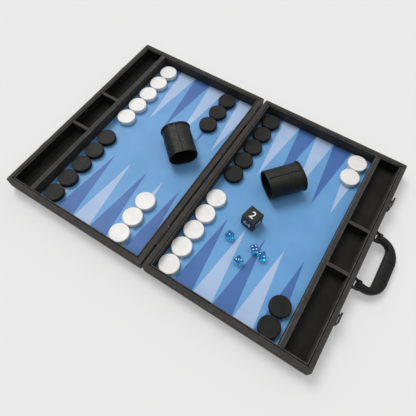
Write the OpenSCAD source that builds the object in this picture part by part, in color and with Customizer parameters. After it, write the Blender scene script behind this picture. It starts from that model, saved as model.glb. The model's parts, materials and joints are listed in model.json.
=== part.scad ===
// Folding attache-style backgammon set, opened flat, with its men, cups, dice and doubling cube set out.
// Millimetres, +Z up. Origin: centre of the footprint, on the table.
// X runs across the two halves (handle side +X), Y runs along the hinge line.

/* [Case] */
// Length of the case along the hinge line
case_len = 483; // [476:1:500]
// Width of one half, hinge face to outer wall
half_w = 340.5; // [339:0.5:352]
// Gap between the two halves at the hinge line
hinge_gap = 4.4; // [4.4:0.1:5]
// Height of the rims above the table
rim_z = 34; // [33:0.5:38]
// Thickness of the outer, front and back walls
wall_t = 13; // [10:0.5:13]
// Thickness of the wall beside the hinge, the bar
bar_t = 14.4; // [12:0.2:15]
// Radius of the upright corners
corner_r = 4; // [2:0.5:8]
// Thickness of the bottom panel
panel_t = 3; // [2:0.5:4]
// How far the bottom panel sits in from the walls
panel_inset = 2.5; // [1:0.5:5]
// Depth of the field and trays below the rim
field_deep = 25.5; // [24:0.5:26]
// Height of the seam groove round the walls
groove_h = 1.4; // [1:0.2:2]
// Depth of the seam groove
groove_d = 0.8; // [0.4:0.2:1.2]
// Drop of the seam groove below the rim
groove_drop = 6.5; // [5:0.5:9]

/* [Feet] */
// Radius of a rubber foot
foot_r = 10; // [6:0.5:11]
// Height of a rubber foot
foot_h = 3; // [2:0.5:4]
// Distance of a foot's centre in from both edges of its corner
foot_inset = 14; // [13:0.5:20]

/* [Trays] */
// Clear width of the side tray
tray_w = 42.2; // [38:0.2:46]
// Thickness of the divider between the tray and the field
divider_t = 10.5; // [8:0.5:13]
// Thickness of a partition across the tray
partition_t = 7; // [4:0.5:10]
// Distance of each partition's centre from the middle of the tray
partition_y = 51; // [40:1:80]
// Drop of the partitions below the rim
partition_drop = 1; // [0.5:0.5:4]

/* [Playing field] */
// Spacing of the points along the wall
point_pitch = 42.6; // [42.4:0.1:42.8]
// Width of a point at its base
point_base = 41.6; // [36:0.2:42]
// Length of a point from its base to its tip
point_len = 168; // [150:1:200]
// Thickness of the inlaid points
inlay_t = 0.4; // [0.3:0.1:0.8]

/* [Hinges] */
// Distance of each hinge's centre from the middle
hinge_y = 171; // [120:1:190]
// Length of a hinge
hinge_len = 42; // [35:1:50]
// Depth of a leaf below the rim
leaf_h = 22; // [15:1:24]
// Thickness of a leaf
leaf_t = 1.2; // [0.8:0.1:1.3]
// Radius of the knuckles
knuckle_r = 2.1; // [1.9:0.05:2.1]
// Radius of the hinge pin
pin_r = 1; // [0.8:0.1:1.1]

/* [Latches] */
// Distance of each latch's centre from the middle
latch_y = 134; // [95:1:180]
// Width of a latch base
latch_w = 22; // [21:0.5:30]
// Height of the fulcrum above the table
fulcrum_z = 25; // [24:0.5:26]
// Reach of the lever below its fulcrum
lever_reach = 12.5; // [11:0.5:14]
// Drop of the claw pivot below the fulcrum
claw_drop = 8; // [7:0.5:9]
// Rise of the claw above the rim
claw_rise = 8; // [6:0.5:10]

/* [Handle] */
// Distance of each bracket's centre from the middle
bracket_y = 55; // [50:1:62]
// Height of the handle's pivot above the table
handle_z = 22; // [22:0.5:26]
// Distance of the pivot out from the wall
pivot_out = 11.3; // [11:0.1:14]
// Width of a grip end along the wall
grip_end_w = 15.4; // [12:0.2:16]
// Thickness of the grip
grip_t = 14.5; // [11:0.5:14.5]
// Distance of the grip's outer edge from the wall when held level
grip_out = 60.3; // [52:0.1:62]
// Width of the grip at its middle
grip_w = 26; // [18:0.5:28]
// Outer corner radius of the grip
grip_r = 41; // [26:1:44]
// Angle the grip hangs below level at rest
grip_droop = 17; // [0:0.5:17]

/* [Men] */
// Diameter of a man
man_d = 41.3; // [38:0.1:41.8]
// Thickness of a man
man_t = 10.5; // [8:0.5:13]
// Rounding radius of a man's edges
man_round = 2.5; // [1:0.25:3.5]
// Spacing of the men in a row
man_pitch = 42.2; // [42:0.1:42.4]

/* [Cups] */
// Length of a cup
cup_len = 77; // [70:1:82]
// Width of a cup across its wide way
cup_w = 63; // [56:0.5:64]
// Width of a cup across its narrow way
cup_h = 48; // [42:0.5:49]
// Thickness of the cup's wall
cup_t = 2.2; // [1.6:0.1:3]
// Thickness of the lining
liner_t = 1.3; // [1:0.1:2]
// Thickness of the stitched base
cup_base_t = 4; // [3:0.5:6]
// Overhang of the stitched base past the wall
cup_flange = 1.8; // [1:0.1:2.2]

/* [Dice and cube] */
// Side of a die
die_s = 14; // [12:0.1:14.2]
// Radius of a pip
pip_r = 1.15; // [0.8:0.05:1.3]
// Depth of a pip
pip_d = 0.5; // [0.3:0.1:0.8]
// Spacing of the pips from the middle of a face
pip_off = 3.2; // [2.6:0.1:3.6]
// Side of the doubling cube
cube_s = 32; // [28:0.5:33]

/* [Hidden] */
$fn = 64;
wall_x = hinge_gap / 2 + half_w;
bar_x = hinge_gap / 2 + bar_t;
inner_x = wall_x - wall_t;
tray_x = inner_x - tray_w;
field_x = tray_x - divider_t;
inner_len = case_len - 2 * wall_t;
floor_z = rim_z - field_deep;
panel_z = foot_h;
ring_z = foot_h + panel_t;
board_t = floor_z - ring_z;
fit_gap = 0.05;
lip_out = 4.2;
knuckles = 5;
knuckle_len = hinge_len / knuckles;
leaf_clear = knuckle_r + 0.2;
base_t = 1;
fulcrum_out = 2.8;
fulcrum_r = 0.8;
ear_r = 1.4;
lever_w = 17;
cheek_t = 1.1;
claw_t = 1.2;
claw_w = 2.4;
bracket_w = 19;
bracket_t = 1.5;
bracket_r = 4.5;
handle_pin_r = 1.8;
grip_back = 4;
cup_gap = 0.3;
rest_gap = 0.15;
cup_tilt = asin(cup_flange / cup_len);
grip_reach = pivot_out + (grip_out - pivot_out) * cos(grip_droop) + grip_t / 2 * sin(grip_droop);
hinge_x = -round(5 * (grip_reach - lip_out)) / 10;

module at_hinge() { translate([hinge_x, 0, 0]) children(); }
module left_half() { rotate([0, 0, 180]) children(); }

// Rounded rectangle in plan, starting at the hinge face and drawn in by one inset all round.
module half_plan(inset) {
  w = half_w - 2 * inset;
  l = case_len - 2 * inset;
  translate([hinge_gap / 2 + inset, 0]) {
    translate([corner_r, -l / 2]) square([w - 2 * corner_r, l]);
    translate([0, -l / 2 + corner_r]) square([w, l - 2 * corner_r]);
    for (x = [corner_r, w - corner_r], y = [-l / 2 + corner_r, l / 2 - corner_r])
      translate([x, y]) circle(corner_r);
  }
}

// Case half
module frame() {
  difference() {
    translate([0, 0, ring_z]) linear_extrude(rim_z - ring_z) half_plan(0);
    translate([bar_x, -inner_len / 2, ring_z - 1])
      cube([inner_x - bar_x, inner_len, rim_z - ring_z + 2]);
    translate([0, 0, rim_z - groove_drop - groove_h]) linear_extrude(groove_h) difference() {
      translate([hinge_gap / 2 + groove_d, -case_len / 2 - 1]) square([half_w + 1, case_len + 2]);
      translate([0, -case_len / 2 + groove_d]) square([wall_x - groove_d, case_len - 2 * groove_d]);
    }
  }
}

module bottom_panel() {
  translate([0, 0, panel_z]) linear_extrude(panel_t) half_plan(panel_inset);
}

// Points of one colour: every other one, starting at the bar on the row named by first.
module point_set(first) {
  for (side = [1, -1], k = [0 : 5])
    if (k % 2 == (side == 1 ? first : 1 - first))
      translate([bar_x + (k + 0.5) * point_pitch, side * inner_len / 2, floor_z - inlay_t])
        linear_extrude(inlay_t)
          polygon([[-point_base / 2, 0], [point_base / 2, 0], [0, -side * point_len]]);
}

module board() {
  difference() {
    translate([bar_x, -inner_len / 2, ring_z]) cube([field_x - bar_x, inner_len, board_t]);
    point_set(0);
    point_set(1);
  }
}

module divider() {
  translate([field_x, -inner_len / 2, ring_z]) cube([divider_t, inner_len, rim_z - ring_z]);
}

module partitions() {
  for (y = [-partition_y, partition_y])
    translate([tray_x, y - partition_t / 2, floor_z])
      cube([tray_w, partition_t, field_deep - partition_drop]);
}

module tray_floor() {
  translate([tray_x, -inner_len / 2, ring_z]) cube([tray_w, inner_len, board_t]);
}

module feet() {
  for (x = [hinge_gap / 2 + foot_inset, wall_x - foot_inset], y = [-1, 1])
    translate([x, y * (case_len / 2 - foot_inset), 0]) cylinder(r = foot_r, h = foot_h);
}

// One side's leaves with their knuckles; own lists the knuckles this side carries.
module hinge_leaves(own) {
  for (y = [-hinge_y, hinge_y]) difference() {
    translate([0, y - hinge_len / 2, rim_z]) {
      translate([hinge_gap / 2 - leaf_t, 0, -leaf_h]) cube([leaf_t, hinge_len, leaf_h - leaf_clear]);
      for (k = own) translate([0, k * knuckle_len + 0.1, 0]) {
        translate([hinge_gap / 2 - leaf_t, 0, -leaf_clear])
          cube([leaf_t, knuckle_len - 0.2, leaf_clear]);
        rotate([-90, 0, 0]) cylinder(r = knuckle_r, h = knuckle_len - 0.2);
      }
    }
    translate([0, y - hinge_len, rim_z]) rotate([-90, 0, 0])
      cylinder(r = pin_r + fit_gap, h = 2 * hinge_len);
  }
}

// Places a latch piece with its fulcrum at the origin.
module at_fulcrum(side) {
  translate([wall_x + fulcrum_out, side * latch_y, fulcrum_z]) children();
}

module rod_y(r, len) { rotate([90, 0, 0]) cylinder(r = r, h = len, center = true); }

module latch_base() {
  translate([-fulcrum_out, -latch_w / 2, -14]) cube([base_t, latch_w, 20]);
  for (s = [-1, 1]) translate([0, s * 6.3, 0]) difference() {
    union() {
      rod_y(ear_r, 1);
      translate([base_t - fulcrum_out, -0.5, -4])
        cube([fulcrum_out - base_t, 1, 4 + ear_r]);
      translate([base_t - fulcrum_out, -0.5, -4]) cube([fulcrum_out - base_t + ear_r, 1, 4]);
    }
    rod_y(fulcrum_r + fit_gap, 3);
  }
}

module latch_lever() {
  difference() {
    union() {
      for (s = [-1, 1]) translate([-1.2, s * (lever_w - cheek_t) / 2 - cheek_t / 2, -lever_reach + 0.5])
        cube([4, cheek_t, lever_reach + 0.7]);
      translate([1.6, -lever_w / 2, -lever_reach]) cube([1.2, lever_w, lever_reach + 0.4]);
    }
    rod_y(fulcrum_r + fit_gap, lever_w + 2);
  }
  for (s = [-1, 1]) translate([0, s * (lever_w / 2 + 0.6), -claw_drop]) rod_y(fulcrum_r, 1.6);
}

module latch_claw() {
  top = rim_z + claw_rise - fulcrum_z;
  out = lever_w / 2 + 0.2;
  for (s = [-1, 1]) difference() {
    translate([-claw_w / 2, s * (out + claw_t / 2) - claw_t / 2, -claw_drop - 1.4])
      cube([claw_w, claw_t, top + claw_drop + 1.4]);
    translate([0, s * out, -claw_drop]) rod_y(fulcrum_r + fit_gap, 4);
  }
  translate([-2.4, -out - claw_t, top - claw_t]) cube([2.4 + claw_w / 2, 2 * (out + claw_t), claw_t]);
}

module keepers() {
  for (y = [-latch_y, latch_y]) translate([wall_x, y, 0]) {
    translate([0, -10, rim_z - 12]) cube([base_t, 20, 11]);
    translate([base_t, -8, rim_z - 6.6]) cube([lip_out - base_t, 16, 1.4]);
  }
}

// Handle
module handle_bracket() {
  difference() {
    union() {
      translate([-pivot_out, -bracket_w / 2, -8]) cube([bracket_t, bracket_w, 16]);
      for (s = [-1, 1]) translate([0, s * (bracket_w - bracket_t) / 2, 0]) {
        rod_y(bracket_r, bracket_t);
        translate([bracket_t - pivot_out, -bracket_t / 2, -bracket_r])
          cube([pivot_out - bracket_t, bracket_t, 2 * bracket_r]);
      }
    }
    rod_y(handle_pin_r + fit_gap, 2 * bracket_w);
  }
}

module grip() {
  end_y = bracket_y + grip_end_w / 2;
  in_y = bracket_y - grip_end_w / 2;
  out_x = grip_out - pivot_out;
  in_x = out_x - grip_w;
  in_r = 10;
  difference() {
    translate([0, 0, -grip_t / 2]) linear_extrude(grip_t) difference() {
      union() {
        translate([-grip_back, -end_y]) square([out_x - grip_r + grip_back, 2 * end_y]);
        translate([0, -end_y + grip_r]) square([out_x, 2 * (end_y - grip_r)]);
        for (s = [-1, 1]) translate([out_x - grip_r, s * (end_y - grip_r)]) circle(grip_r);
      }
      translate([-grip_back - 2 * grip_r, -end_y - 1]) square([2 * grip_r, 2 * end_y + 2]);
      translate([-grip_back - 1, -in_y]) square([in_x - in_r + grip_back + 1, 2 * in_y]);
      translate([-grip_back - 1, -in_y + in_r]) square([in_x + grip_back + 1, 2 * (in_y - in_r)]);
      for (s = [-1, 1]) translate([in_x - in_r, s * (in_y - in_r)]) circle(in_r);
    }
    rod_y(handle_pin_r + fit_gap, 3 * bracket_y);
  }
}

module at_handle() { translate([wall_x + pivot_out, 0, handle_z]) children(); }

// Men
module man() {
  rotate_extrude() {
    square([man_d / 2 - man_round, man_t]);
    translate([0, man_round]) square([man_d / 2, man_t - 2 * man_round]);
    for (z = [man_round, man_t - man_round]) translate([man_d / 2 - man_round, z]) circle(man_round);
  }
}

// A row of men from one wall towards the middle, on the point counted from the bar.
module men_row(half, side, place, count) {
  margin = side == 1 ? 5.5 : 1.2;
  for (i = [0 : count - 1])
    translate([half * (bar_x + (place - 0.5) * point_pitch),
               side * (inner_len / 2 - man_d / 2 - margin - i * man_pitch), floor_z])
      man();
}

// Cups: an oval drawn with two arcs, the narrow way up.
module oval(w, h) {
  for (s = [-1, 1]) translate([0, s * (w - h) / 2]) circle(h / 2);
  square([h, w - h], center = true);
}

module along_x() { rotate([0, 90, 0]) children(); }

module cup_body() {
  along_x() linear_extrude(cup_len - cup_base_t) difference() {
    oval(cup_w, cup_h);
    oval(cup_w - 2 * cup_t, cup_h - 2 * cup_t);
  }
}

module cup_liner() {
  g = 2 * (cup_t + cup_gap);
  translate([0.8, 0, 0]) along_x() linear_extrude(cup_len - cup_base_t - 0.8) difference() {
    oval(cup_w - g, cup_h - g);
    oval(cup_w - g - 2 * liner_t, cup_h - g - 2 * liner_t);
  }
}

module cup_base() {
  translate([cup_len - cup_base_t, 0, 0]) along_x() linear_extrude(cup_base_t)
    oval(cup_w + 2 * cup_flange, cup_h + 2 * cup_flange);
}

module at_cup_left() {
  at_hinge() translate([-68.4, 0.9, floor_z + cup_h / 2 + rest_gap])
    rotate([0, 0, 137.8]) rotate([0, -cup_tilt, 0]) children();
}

module at_cup_right() {
  at_hinge() translate([112.4, 35.2, floor_z + cup_h / 2 + rest_gap])
    rotate([0, 0, 50]) rotate([0, -cup_tilt, 0]) children();
}

// One face's pips, cut into the +Z face of a die centred on the origin.
module pips(n) {
  p = pip_off;
  spots = n == 1 ? [[0, 0]] : n == 2 ? [[p, p], [-p, -p]] : n == 3 ? [[p, p], [0, 0], [-p, -p]]
    : n == 4 ? [[p, p], [p, -p], [-p, p], [-p, -p]]
    : n == 5 ? [[p, p], [p, -p], [-p, p], [-p, -p], [0, 0]]
    : [[p, p], [p, -p], [p, 0], [-p, p], [-p, 0], [-p, -p]];
  for (s = spots) translate([s[0], s[1], die_s / 2 - pip_d]) cylinder(r = pip_r, h = pip_d + 1);
}

module die() {
  difference() {
    intersection() {
      cube(die_s, center = true);
      sphere(r = 0.735 * die_s);
    }
    pips(1);
    rotate([180, 0, 0]) pips(6);
    rotate([90, 0, 0]) pips(5);
    rotate([-90, 0, 0]) pips(2);
    rotate([0, 90, 0]) pips(3);
    rotate([0, -90, 0]) pips(4);
  }
}

module at_die(x, y, turn) {
  at_hinge() translate([x, y, floor_z + die_s / 2 + rest_gap]) rotate([0, 0, turn]) children();
}

module frame_right() { color([0.16, 0.155, 0.15]) at_hinge() frame(); }
module bottom_right() { color([0.13, 0.125, 0.12]) at_hinge() bottom_panel(); }
module board_right() { color([0.42, 0.63, 0.84]) at_hinge() board(); }
module points_dark_right() { color([0.32, 0.45, 0.71]) at_hinge() point_set(0); }
module points_pale_right() { color([0.67, 0.75, 0.89]) at_hinge() point_set(1); }
module divider_right() { color([0.17, 0.165, 0.16]) at_hinge() divider(); }
module partitions_right() { color([0.19, 0.185, 0.18]) at_hinge() partitions(); }
module tray_floor_right() { color([0.12, 0.12, 0.12]) at_hinge() tray_floor(); }
module feet_right() { color([0.05, 0.05, 0.05]) at_hinge() feet(); }

module frame_left() { color([0.16, 0.155, 0.15]) at_hinge() left_half() frame(); }
module bottom_left() { color([0.13, 0.125, 0.12]) at_hinge() left_half() bottom_panel(); }
module board_left() { color([0.42, 0.63, 0.84]) at_hinge() left_half() board(); }
module points_dark_left() { color([0.32, 0.45, 0.71]) at_hinge() left_half() point_set(0); }
module points_pale_left() { color([0.67, 0.75, 0.89]) at_hinge() left_half() point_set(1); }
module divider_left() { color([0.17, 0.165, 0.16]) at_hinge() left_half() divider(); }
module partitions_left() { color([0.19, 0.185, 0.18]) at_hinge() left_half() partitions(); }
module tray_floor_left() { color([0.12, 0.12, 0.12]) at_hinge() left_half() tray_floor(); }
module feet_left() { color([0.05, 0.05, 0.05]) at_hinge() left_half() feet(); }

module hinge_leaves_right() { color([0.1, 0.1, 0.1]) at_hinge() hinge_leaves([0, 2, 4]); }
module hinge_leaves_left() { color([0.1, 0.1, 0.1]) at_hinge() left_half() hinge_leaves([1, 3]); }
module hinge_pins() {
  color([0.6, 0.6, 0.62]) at_hinge() for (y = [-hinge_y, hinge_y])
    translate([0, y, rim_z]) rod_y(pin_r, hinge_len + 1);
}

module latch_bases() {
  color([0.3, 0.3, 0.3]) at_hinge() for (s = [-1, 1]) at_fulcrum(s) latch_base();
}
module latch_pins() {
  color([0.6, 0.6, 0.62]) at_hinge() for (s = [-1, 1]) at_fulcrum(s)
    rod_y(fulcrum_r, lever_w + 0.2);
}
module latch_lever_near() { color([0.35, 0.35, 0.35]) at_hinge() at_fulcrum(-1) latch_lever(); }
module latch_lever_far() { color([0.35, 0.35, 0.35]) at_hinge() at_fulcrum(1) latch_lever(); }
module latch_claw_near() { color([0.4, 0.4, 0.4]) at_hinge() at_fulcrum(-1) latch_claw(); }
module latch_claw_far() { color([0.4, 0.4, 0.4]) at_hinge() at_fulcrum(1) latch_claw(); }
module latch_keepers() { color([0.3, 0.3, 0.3]) at_hinge() left_half() keepers(); }

module handle_brackets() {
  color([0.1, 0.1, 0.1]) at_hinge() at_handle()
    for (s = [-1, 1]) translate([0, s * bracket_y, 0]) handle_bracket();
}
module handle_pins() {
  color([0.75, 0.75, 0.77]) at_hinge() at_handle()
    for (s = [-1, 1]) translate([0, s * bracket_y, 0]) rod_y(handle_pin_r, bracket_w + 1);
}
module handle_grip() { color([0.14, 0.135, 0.13]) at_hinge() at_handle() rotate([0, grip_droop, 0]) grip(); }

module cup_left_body() { color([0.15, 0.145, 0.14]) at_cup_left() cup_body(); }
module cup_left_liner() { color([0.05, 0.05, 0.05]) at_cup_left() cup_liner(); }
module cup_left_base() { color([0.14, 0.135, 0.13]) at_cup_left() cup_base(); }
module cup_right_body() { color([0.15, 0.145, 0.14]) at_cup_right() cup_body(); }
module cup_right_liner() { color([0.05, 0.05, 0.05]) at_cup_right() cup_liner(); }
module cup_right_base() { color([0.14, 0.135, 0.13]) at_cup_right() cup_base(); }

module men_white_left_far() { color([0.9, 0.89, 0.87]) at_hinge() men_row(-1, 1, 6, 5); }
module men_black_left_near() { color([0.09, 0.09, 0.09]) at_hinge() men_row(-1, -1, 6, 5); }
module men_white_left_near() { color([0.9, 0.89, 0.87]) at_hinge() men_row(-1, -1, 2, 3); }
module men_black_left_far() { color([0.09, 0.09, 0.09]) at_hinge() men_row(-1, 1, 2, 3); }
module men_black_right_far() { color([0.09, 0.09, 0.09]) at_hinge() men_row(1, 1, 1, 5); }
module men_white_right_near() { color([0.9, 0.89, 0.87]) at_hinge() men_row(1, -1, 1, 5); }
module men_white_right_far() { color([0.9, 0.89, 0.87]) at_hinge() men_row(1, 1, 6, 2); }
module men_black_right_near() { color([0.09, 0.09, 0.09]) at_hinge() men_row(1, -1, 6, 2); }

module die_one() { color([0.02, 0.35, 0.75]) at_die(103.3, -94.2, -12.5) die(); }
module die_two() { color([0.02, 0.35, 0.75]) at_die(177.2, -98.3, 126.5) rotate([90, 0, 0]) die(); }
module die_three() { color([0.02, 0.35, 0.75]) at_die(144.4, -130, -22) rotate([0, -90, 0]) die(); }
module die_four() { color([0.02, 0.35, 0.75]) at_die(157.8, -93, 44) rotate([0, 90, 0]) die(); }
module doubling_cube() {
  color([0.08, 0.08, 0.08]) at_hinge() translate([124.1, -43, floor_z + cube_s / 2 + rest_gap])
    rotate([0, 0, -12]) intersection() {
      cube(cube_s, center = true);
      sphere(r = 0.82 * cube_s);
    }
}

frame_right();
bottom_right();
board_right();
points_dark_right();
points_pale_right();
divider_right();
partitions_right();
tray_floor_right();
feet_right();
frame_left();
bottom_left();
board_left();
points_dark_left();
points_pale_left();
divider_left();
partitions_left();
tray_floor_left();
feet_left();
hinge_leaves_right();
hinge_leaves_left();
hinge_pins();
latch_bases();
latch_pins();
latch_lever_near();
latch_lever_far();
latch_claw_near();
latch_claw_far();
latch_keepers();
handle_brackets();
handle_pins();
handle_grip();
cup_left_body();
cup_left_liner();
cup_left_base();
cup_right_body();
cup_right_liner();
cup_right_base();
men_white_left_far();
men_black_left_near();
men_white_left_near();
men_black_left_far();
men_black_right_far();
men_white_right_near();
men_white_right_far();
men_black_right_near();
die_one();
die_two();
die_three();
die_four();
doubling_cube();
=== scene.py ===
import json
import math
import bpy
import bmesh
from mathutils import Matrix, Vector


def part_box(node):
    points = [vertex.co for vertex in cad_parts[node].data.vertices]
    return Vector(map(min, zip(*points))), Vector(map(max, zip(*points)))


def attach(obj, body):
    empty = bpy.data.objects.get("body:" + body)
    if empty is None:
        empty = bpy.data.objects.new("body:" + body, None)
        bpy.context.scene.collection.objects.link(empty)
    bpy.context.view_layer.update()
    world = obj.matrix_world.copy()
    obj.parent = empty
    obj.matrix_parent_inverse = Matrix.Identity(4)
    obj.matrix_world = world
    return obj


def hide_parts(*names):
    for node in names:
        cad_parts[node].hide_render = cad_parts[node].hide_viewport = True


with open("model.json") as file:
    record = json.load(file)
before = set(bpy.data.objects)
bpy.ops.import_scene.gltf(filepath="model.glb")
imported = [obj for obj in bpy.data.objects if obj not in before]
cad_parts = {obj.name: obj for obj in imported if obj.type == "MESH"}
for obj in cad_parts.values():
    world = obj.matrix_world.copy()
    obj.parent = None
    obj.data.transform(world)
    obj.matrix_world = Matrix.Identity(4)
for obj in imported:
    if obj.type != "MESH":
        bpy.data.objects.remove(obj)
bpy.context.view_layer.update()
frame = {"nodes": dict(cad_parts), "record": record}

# --- Camera, floor and studio light ---------------------------------------------------------
# The set stands on a plain pale table. A key light stands high over the left half, a very wide
# softbox hangs behind and above, and the pale room fills what is left of the shadows.
hinge_low, hinge_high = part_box("hinge_pins")
hinge_line = (hinge_low.x + hinge_high.x) / 2
camera_data = bpy.data.cameras.new("view_camera")
camera_data.sensor_width = 36.0
camera_data.lens = 32.64
camera_data.clip_end = 20.0
camera = bpy.data.objects.new("view_camera", camera_data)
camera_right = Vector((0.84496, 0.53460, 0.01547))
camera_up = Vector((-0.47921, 0.74394, 0.46574))
camera_back = camera_right.cross(camera_up)
camera.matrix_world = Matrix.Translation((hinge_line + 0.21759, -0.37328, 0.69385)) @ Matrix(
    (camera_right, camera_up, camera_back)).transposed().to_4x4()
bpy.context.scene.collection.objects.link(camera)
bpy.context.scene.camera = camera
bpy.context.scene.view_settings.view_transform = "Standard"

room = bpy.data.worlds.new("room_light")
room.use_nodes = True
room_fill = room.node_tree.nodes["Background"]
room_fill.inputs["Color"].default_value = (0.985, 0.99, 1.0, 1.0)
room_fill.inputs["Strength"].default_value = 0.30
# Seen directly, past the end of the table, the room is a backdrop as pale as the table.
room_nodes = room.node_tree.nodes
backdrop = room_nodes.new("ShaderNodeBackground")
backdrop.inputs["Color"].default_value = (1.0, 1.0, 1.0, 1.0)
backdrop.inputs["Strength"].default_value = 0.82
light_path = room_nodes.new("ShaderNodeLightPath")
seen_or_lit = room_nodes.new("ShaderNodeMixShader")
for output, socket in ((light_path.outputs["Is Camera Ray"], seen_or_lit.inputs[0]),
                       (room_fill.outputs[0], seen_or_lit.inputs[1]),
                       (backdrop.outputs[0], seen_or_lit.inputs[2]),
                       (seen_or_lit.outputs[0], room_nodes["World Output"].inputs["Surface"])):
    room.node_tree.links.new(output, socket)
bpy.context.scene.world = room


def sun_light(name, strength, spread, towards, colour):
    """A far, soft studio light that shines towards a direction."""
    data = bpy.data.lights.new(name, "SUN")
    data.energy, data.angle, data.color = strength, math.radians(spread), colour
    light = bpy.data.objects.new(name, data)
    light.rotation_euler = Vector(towards).to_track_quat("-Z", "Y").to_euler()
    bpy.context.scene.collection.objects.link(light)


sun_light("key_light", 1.62, 28.0, (0.64, -0.34, -1.0), (1.0, 0.99, 0.975))
sun_light("high_softbox", 1.05, 120.0, (0.10, -0.50, -1.0), (0.99, 0.995, 1.0))

floor_mesh = bmesh.new()
bmesh.ops.create_grid(floor_mesh, x_segments=1, y_segments=1, size=6.0)
floor_data = bpy.data.meshes.new("table_floor")
floor_mesh.to_mesh(floor_data)
floor_mesh.free()
floor = bpy.data.objects.new("table_floor", floor_data)
bpy.context.scene.collection.objects.link(floor)
floor_finish = bpy.data.materials.new("pale_floor")
floor_finish.use_nodes = True
floor_shader = floor_finish.node_tree.nodes["Principled BSDF"]
floor_shader.inputs["Base Color"].default_value = (0.56, 0.56, 0.56, 1.0)
floor_shader.inputs["Emission Color"].default_value = (1.0, 1.0, 1.0, 1.0)
floor_shader.inputs["Emission Strength"].default_value = 0.26
floor_shader.inputs["Roughness"].default_value = 0.9
floor_shader.inputs["Specular IOR Level"].default_value = 0.15
floor_data.materials.append(floor_finish)


# --- Case walls ---------------------------------------------------------------------------
# Each half is a wooden tray wrapped in fine-grained black leatherette, turned over the rounded
# rim and down the inside, with a recess under the rim; the tray sides take a near-black flock that stands
# partly for painted shade.
MM = 0.001


def node_box(node):
    """Lowest and highest corner of a CAD node, in millimetres."""
    low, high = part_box(node)
    return low / MM, high / MM


class Finish:
    """The shader nodes of one finish, or of one effect that several finishes share."""

    def __init__(self, tree):
        self.tree = tree

    def feed(self, socket, value):
        """Links an output to a socket, or sets a plain value there."""
        if isinstance(value, bpy.types.NodeSocket):
            self.tree.links.new(value, socket)
        else:
            socket.default_value = value

    def node(self, kind, inputs=None, **settings):
        """Adds a shader node, with its settings and its inputs."""
        made = self.tree.nodes.new(kind)
        for key, value in settings.items():
            setattr(made, key, value)
        for key, value in (inputs or {}).items():
            self.feed(made.inputs[key], value)
        return made

    def noise(self, vector, scale, detail=3.0, rough=0.55):
        return self.node("ShaderNodeTexNoise", {
            "Vector": vector, "Scale": scale, "Detail": detail, "Roughness": rough}).outputs["Fac"]

    def ramp(self, value, low, high, to_low=0.0, to_high=1.0):
        """Maps low..high onto to_low..to_high with soft ends."""
        return self.node("ShaderNodeMapRange", {
            "Value": value, "From Min": low, "From Max": high, "To Min": to_low, "To Max": to_high},
            interpolation_type="SMOOTHSTEP").outputs["Result"]

    def maths(self, operation, a, b):
        return self.node("ShaderNodeMath", {0: a, 1: b}, operation=operation).outputs[0]

    def times(self, a, b):
        return self.maths("MULTIPLY", a, b)

    def plus(self, a, b):
        return self.maths("ADD", a, b)

    def mixed(self, factor, a, b):
        """A colour between a and b."""
        return self.node("ShaderNodeMix", {"Factor": factor, 6: a, 7: b}, data_type="RGBA").outputs[2]

    def stretched(self, vector, scale, turn=(0.0, 0.0, 0.0)):
        return self.node("ShaderNodeMapping", {"Vector": vector, "Rotation": turn, "Scale": scale}).outputs[0]

    def effect(self, group, **inputs):
        """Places a shared effect and gives its outputs."""
        return self.node("ShaderNodeGroup", inputs, node_tree=group).outputs


def shared_effect(name, inputs, outputs):
    """A node group with named sockets: the group, its nodes, what it is given and what it puts out."""
    group = bpy.data.node_groups.new(name, "ShaderNodeTree")
    for label, kind, value in inputs:
        socket = group.interface.new_socket(label, in_out="INPUT", socket_type="NodeSocket" + kind)
        if value is not None:
            socket.default_value = value
    for label in outputs:
        group.interface.new_socket(label, in_out="OUTPUT", socket_type="NodeSocketFloat")
    given, put_out = group.nodes.new("NodeGroupInput").outputs, group.nodes.new("NodeGroupOutput").inputs
    return group, Finish(group), given, put_out


# Pebbled grain: rounded pebbles between fine creases, uneven from place to place.
grain_group, nodes, given, put_out = shared_effect(
    "leather_grain", [("Vector", "Vector", None), ("Pebbles", "Float", 900.0)],
    ("Height", "Creases", "Patches"))
warp = nodes.node("ShaderNodeTexNoise", {"Vector": given["Vector"], "Scale": 420.0, "Detail": 2.0})
shift = nodes.node("ShaderNodeVectorMath", {
    0: warp.outputs["Color"], 1: (0.0009, 0.0009, 0.0009)}, operation="MULTIPLY")
warped = nodes.node("ShaderNodeVectorMath", {0: given["Vector"], 1: shift.outputs[0]}, operation="ADD")
pebble = nodes.node("ShaderNodeTexVoronoi", {
    "Vector": warped.outputs[0], "Scale": given["Pebbles"]}, feature="DISTANCE_TO_EDGE").outputs["Distance"]
domes = nodes.times(nodes.ramp(pebble, 0.0, 0.32), 0.78)
fine_tooth = nodes.times(nodes.noise(given["Vector"], 2600.0, 2.0), 0.22)
nodes.feed(put_out["Height"], nodes.plus(domes, fine_tooth))
nodes.feed(put_out["Creases"], nodes.ramp(pebble, 0.0, 0.1, 1.0, 0.0))
nodes.feed(put_out["Patches"], nodes.noise(given["Vector"], 38.0, 4.0, 0.6))

# Handling wear and edge highlight: the marked edges rub through unevenly, and on the case leatherette the same
# mask lays a painted highlight; faint smears lie over the faces.
wear_and_highlight_group, nodes, given, put_out = shared_effect(
    "handling_wear_and_edge_highlight", [("Vector", "Vector", None), ("Edge", "Float", 0.0)], ("RubAndHighlight", "Smears"))
broken = nodes.ramp(nodes.noise(given["Vector"], 130.0, 5.0, 0.7), 0.42, 0.68)
nodes.feed(put_out["RubAndHighlight"], nodes.times(given["Edge"], nodes.plus(nodes.times(broken, 0.8), 0.2)))
smear_place = nodes.stretched(given["Vector"], (9.0, 26.0, 9.0), (0.3, 0.2, 0.7))
nodes.feed(put_out["Smears"], nodes.ramp(nodes.noise(smear_place, 1.0, 4.0, 0.6), 0.35, 0.7))


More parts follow.
